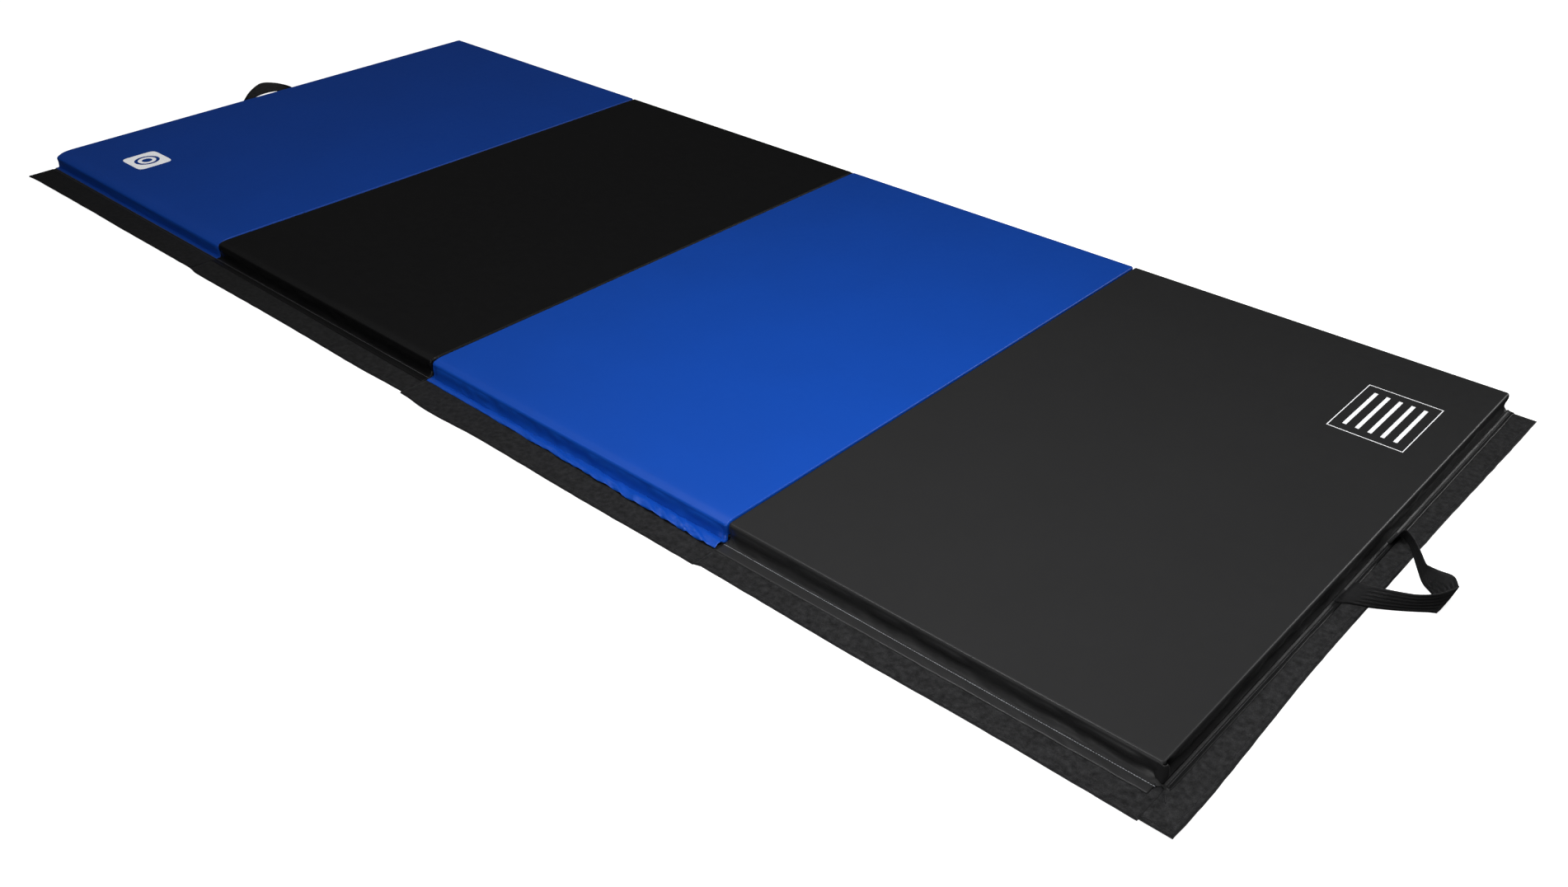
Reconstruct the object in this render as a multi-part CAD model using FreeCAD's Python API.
import FreeCAD, Part
import math
import os

# Folding gym mat: four foam panels in vinyl covers, hinged in an accordion fold.
# Millimetres. +X runs along the open mat, +Z is up, and the floor is z = 0.
# The origin is on the floor, at the middle of the mat's outline with its flaps and handles.

# Overall sizes of the open mat
panel_pitch = 762.0        # one panel, from fold line to fold line
panel_width = 1219.2
mat_height = 38.1
panel_count = 4

# Covers, foam and folds
fold_gap = 2.0             # between the end walls of two panels
cover_wall = 1.2           # vinyl with its fabric backing and seam
edge_radius = 6.0
hinge_tape_thickness = 0.8
hinge_tape_height = 12.0

# Skirt, which covers the bottom seam, and the flaps that join mats side by side
skirt_reach = 9.0          # from the wall
skirt_thickness = 1.6
flap_axis_clearance = 2.0  # from the skirt to the flaps' bending line
flap_axis_gap = 0.6        # from the bending line to the flap's own solid
flap_cloth = 0.8
loop_tape_thickness = 0.8
loop_tape_width = 50.0
end_loop_tape_width = 36.0
tape_root_margin = 6.4     # bare cloth between the bending line and the loop tape
tape_edge_margin = 2.0     # bare cloth beyond the loop tape
flap_split_gap = 0.3       # from a fold line to the end of a flap length

# Hook tapes on the underside, which meet the loop tapes of the next mat
hook_tape_width = 50.0
hook_tape_thickness = 0.8
hook_tape_margin = 8.0     # from the wall

# Webbing handles
webbing_width = 35.0
webbing_thickness = 1.6
handle_reach = 133.0       # from the end wall to the tip of the loop
handle_half_spread = 114.0
tack_inset = 2.0           # from the skirt's edge to the webbing's sewn end
tack_thickness = 1.4
handle_root_gap = 2.0      # from the sewn end to the free loop
handle_clearance = 0.4     # above the skirt and the flap

# Prints on the covers
print_thickness = 0.2
emblem_size = (111.0, 85.0)
emblem_from_end = 209.5
emblem_from_near = 129.6
care_size = (134.0, 179.0)
care_from_end = 138.0
care_from_far = 220.0
print_corner = 9.0

# Stations round the loop of a handle: how far out of its reach, how far across its spread,
# and how far the webbing has turned from lying flat to standing on its edge, in degrees.
handle_stations = [
    (0.00, -1.00, 0), (0.12, -0.99, 40), (0.25, -0.95, 72), (0.38, -0.87, 86),
    (0.59, -0.70, 90), (0.81, -0.46, 90), (0.94, -0.20, 90), (1.00, 0.03, 90),
    (0.96, 0.20, 90), (0.82, 0.23, 90), (0.64, 0.26, 90), (0.48, 0.38, 90),
    (0.44, 0.64, 90), (0.37, 0.85, 86), (0.25, 0.95, 72), (0.12, 0.99, 40), (0.00, 1.00, 0),
]

flap_axis_reach = skirt_reach + flap_axis_clearance
tape_root_reach = flap_axis_reach + flap_axis_gap + tape_root_margin
side_flap_reach = tape_root_reach + loop_tape_width + tape_edge_margin
end_flap_reach = tape_root_reach + end_loop_tape_width + tape_edge_margin
tack_reach = skirt_reach - tack_inset
mat_length = panel_count * panel_pitch
left_end = -mat_length / 2
right_end = mat_length / 2
near_edge = (side_flap_reach - panel_width) / 2
far_edge = near_edge + panel_width
flap_thickness = flap_cloth + loop_tape_thickness


def fold_line(index):
    """X of the fold line after the first `index` panels."""
    return left_end + index * panel_pitch


def panel_span(number):
    """X of the left and right end walls of a panel, numbered from 1."""
    left = fold_line(number - 1) + (fold_gap / 2 if number > 1 else 0)
    right = fold_line(number) - (fold_gap / 2 if number < panel_count else 0)
    return left, right


def block(low, high):
    size = [b - a for a, b in zip(low, high)]
    return Part.makeBox(*size, FreeCAD.Vector(*low))


def rounded_block(low, high, radius):
    """A block with its top edges and its upright corners rounded, and a flat underside."""
    body = block(low, high)
    edges = [e for e in body.Edges if e.CenterOfMass.z > low[2] + 1e-6]
    return body.makeFillet(radius, edges)


def plate(low_x, high_x, low_y, high_y, low_z, thickness):
    return block((low_x, low_y, low_z), (high_x, high_y, low_z + thickness))


def hinge_tapes(number):
    """The lengths of hinge tape on a panel's end walls, by node name."""
    left, right = panel_span(number)
    tapes = {}
    for line, wall, inward in ((number - 1, left, 1), (number, right, -1)):
        if line in (0, panel_count):
            continue
        low_z = 0.0 if line % 2 else mat_height - edge_radius - hinge_tape_height
        low_x, high_x = sorted((wall, wall + inward * hinge_tape_thickness))
        side = "right" if inward > 0 else "left"
        tapes[f"hinge_tape_{line}{line + 1}_{side}"] = block(
            (low_x, near_edge + edge_radius, low_z),
            (high_x, far_edge - edge_radius, low_z + hinge_tape_height),
        )
    return tapes


def hook_tapes(number):
    """Hook tape along the far edge of every panel, and along the free end of the first."""
    left, right = panel_span(number)
    inner = cover_wall + hook_tape_margin
    far_low = far_edge - inner - hook_tape_width
    tapes = {
        f"hook_tape_{number}": plate(
            left + inner, right - inner, far_low, far_low + hook_tape_width, 0, hook_tape_thickness
        )
    }
    if number == 1:
        tapes["end_hook_tape"] = plate(
            left + inner, left + inner + hook_tape_width,
            near_edge + inner, far_low - hook_tape_margin, 0, hook_tape_thickness,
        )
    return tapes


def panel(number):
    """Foam core, top cover and bottom cover of one panel, with the tapes sewn to them."""
    left, right = panel_span(number)
    outer = rounded_block((left, near_edge, 0), (right, far_edge, mat_height), edge_radius)
    inner = rounded_block(
        (left + cover_wall, near_edge + cover_wall, 0),
        (right - cover_wall, far_edge - cover_wall, mat_height - cover_wall),
        edge_radius - cover_wall,
    )
    base = plate(left, right, near_edge, far_edge, 0, cover_wall)
    nodes = {
        f"foam_core_{number}": inner.cut(base),
        f"top_cover_{number}": outer.cut(inner),
        f"bottom_cover_{number}": inner.common(base),
    }
    for name, tape in hinge_tapes(number).items():
        nodes[f"top_cover_{number}"] = nodes[f"top_cover_{number}"].cut(tape)
        nodes[name] = tape
    for name, tape in hook_tapes(number).items():
        nodes[f"bottom_cover_{number}"] = nodes[f"bottom_cover_{number}"].cut(tape)
        nodes[name] = tape
    return nodes


def side_skirt(number):
    left, right = panel_span(number)
    return plate(left, right, near_edge - skirt_reach, near_edge, 0, skirt_thickness)


def end_skirt():
    return plate(
        right_end, right_end + skirt_reach, near_edge - skirt_reach, far_edge, 0, skirt_thickness
    )


def side_flap(number):
    """Cloth and loop tape of the flap along one panel's near wall."""
    left = fold_line(number - 1) + (flap_split_gap if number > 1 else 0)
    right = fold_line(number) - flap_split_gap if number < panel_count else right_end + skirt_reach
    outer = near_edge - side_flap_reach
    inner = near_edge - flap_axis_reach - flap_axis_gap
    tape_low = outer + tape_edge_margin
    cloth = plate(left, right, outer, inner, 0, flap_cloth)
    tape = plate(left, right, tape_low, tape_low + loop_tape_width, flap_cloth, loop_tape_thickness)
    return cloth, tape


def end_flap():
    """Cloth and loop tape of the flap along the last panel's free end, past the near corner."""
    inner = right_end + flap_axis_reach + flap_axis_gap
    outer = right_end + end_flap_reach
    near = near_edge - side_flap_reach
    tape_high = outer - tape_edge_margin
    cloth = plate(inner, outer, near, far_edge, 0, flap_cloth)
    tape = plate(
        tape_high - end_loop_tape_width, tape_high, near + tape_edge_margin,
        far_edge - tape_edge_margin, flap_cloth, loop_tape_thickness,
    )
    return cloth, tape


def station_places(direction):
    """Lower edge of the webbing at each station, with its turn in radians."""
    wall = right_end if direction > 0 else left_end
    middle = (near_edge + far_edge) / 2
    start = tack_reach + handle_root_gap
    floor = max(flap_thickness, skirt_thickness) + handle_clearance
    places = []
    for out, across, turn in handle_stations:
        turn = math.radians(turn)
        x = wall + direction * (start + out * (handle_reach - start))
        z = floor + webbing_thickness / 2 * math.cos(turn)
        places.append((FreeCAD.Vector(x, middle + across * handle_half_spread, z), turn))
    return places


def webbing_sections(direction):
    """The webbing's cross-section at each station, as its four corners."""
    places = station_places(direction)
    last = len(places) - 1
    sections = []
    for i, (place, turn) in enumerate(places):
        if i in (0, last):
            along = FreeCAD.Vector(direction if i == 0 else -direction, 0, 0)
        else:
            step = places[i + 1][0] - places[i - 1][0]
            along = FreeCAD.Vector(step.x, step.y, 0).normalize()
        inward = FreeCAD.Vector(-along.y, along.x, 0) * direction
        up_the_web = inward * math.cos(turn) + FreeCAD.Vector(0, 0, math.sin(turn))
        half = along.cross(up_the_web) * (webbing_thickness / 2)
        top = place + up_the_web * webbing_width
        sections.append([place - half, place + half, top + half, top - half])
    return sections


def flat_face(*corners):
    return Part.Face(Part.makePolygon(corners + corners[:1]))


def handle(direction):
    """A loop of webbing that leaves the seam flat and turns to stand on its edge."""
    sections = webbing_sections(direction)
    faces = [flat_face(*sections[0]), flat_face(*sections[-1])]
    for here, there in zip(sections, sections[1:]):
        for i, j in ((0, 1), (1, 2), (3, 2), (0, 3)):
            faces.append(flat_face(here[i], here[j], there[j]))
            faces.append(flat_face(here[i], there[j], there[i]))
    shell = Part.makeShell(faces)
    shell.sewShape()
    solid = Part.makeSolid(shell)
    return solid if solid.Volume > 0 else solid.reversed()


def handle_tacks(direction):
    """The two sewn ends of a handle, flat on the bottom seam."""
    wall = right_end if direction > 0 else left_end
    low_x, high_x = sorted((wall, wall + direction * tack_reach))
    middle = (near_edge + far_edge) / 2
    tacks = []
    for side in (-1, 1):
        low_y, high_y = sorted(
            middle + side * (handle_half_spread - inset) for inset in (0, webbing_width)
        )
        tacks.append(plate(low_x, high_x, low_y, high_y, skirt_thickness, tack_thickness))
    return Part.makeCompound(tacks)


def print_plate(middle_x, middle_y, size):
    """A thin layer of ink on top of a cover, with rounded corners."""
    low = (middle_x - size[0] / 2, middle_y - size[1] / 2, mat_height)
    high = (middle_x + size[0] / 2, middle_y + size[1] / 2, mat_height + print_thickness)
    body = block(low, high)
    upright = [e for e in body.Edges if abs(e.CenterOfMass.z - (low[2] + high[2]) / 2) < 1e-6]
    return body.makeFillet(print_corner, upright)


def build():
    nodes = {}
    for number in range(1, panel_count + 1):
        nodes.update(panel(number))
        nodes[f"side_skirt_{number}"] = side_skirt(number)
        cloth, tape = side_flap(number)
        nodes[f"side_flap_{number}"] = cloth
        nodes[f"side_loop_tape_{number}"] = tape
    nodes["end_skirt"] = end_skirt()
    nodes["end_flap"], nodes["end_loop_tape"] = end_flap()
    for name, direction in (("left", -1), ("right", 1)):
        nodes[f"handle_{name}"] = handle(direction)
        nodes[f"handle_{name}_tacks"] = handle_tacks(direction)
    nodes["emblem_print"] = print_plate(
        left_end + emblem_from_end, near_edge + emblem_from_near, emblem_size
    )
    nodes["care_print"] = print_plate(
        right_end - care_from_end, far_edge - care_from_far, care_size
    )
    return nodes


os.makedirs("parts", exist_ok=True)
for node, shape in build().items():
    shape.exportStep(f"parts/{node}.step")
    print(f"{node}: {len(shape.Solids)} solids, valid {shape.isValid()}, {shape.Volume / 1000:.1f} cm3")
